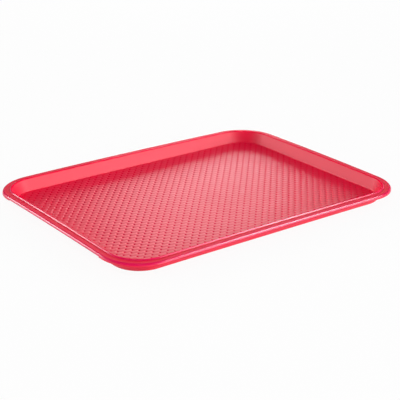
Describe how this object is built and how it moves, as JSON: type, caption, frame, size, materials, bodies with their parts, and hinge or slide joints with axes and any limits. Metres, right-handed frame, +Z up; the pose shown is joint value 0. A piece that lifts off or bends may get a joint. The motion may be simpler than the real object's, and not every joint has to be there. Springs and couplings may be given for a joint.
{
  "type": "serving tray",
  "caption": "Rectangular moulded plastic tray with rounded corners, a low leaning wall, a rim with a raised inner bead and a rolled-down edge, and a floor with a raised basketweave texture.",
  "frame": {"origin": "middle of the underside, on the surface that the tray stands on", "axes": "+X along the tray's length, +Y across its width, +Z up"},
  "size_m": [0.41, 0.31, 0.0184],
  "materials": {
    "red_plastic": "satin"
  },
  "bodies": {
    "root": {"tray": "red_plastic"}
  },
  "joints": []
}
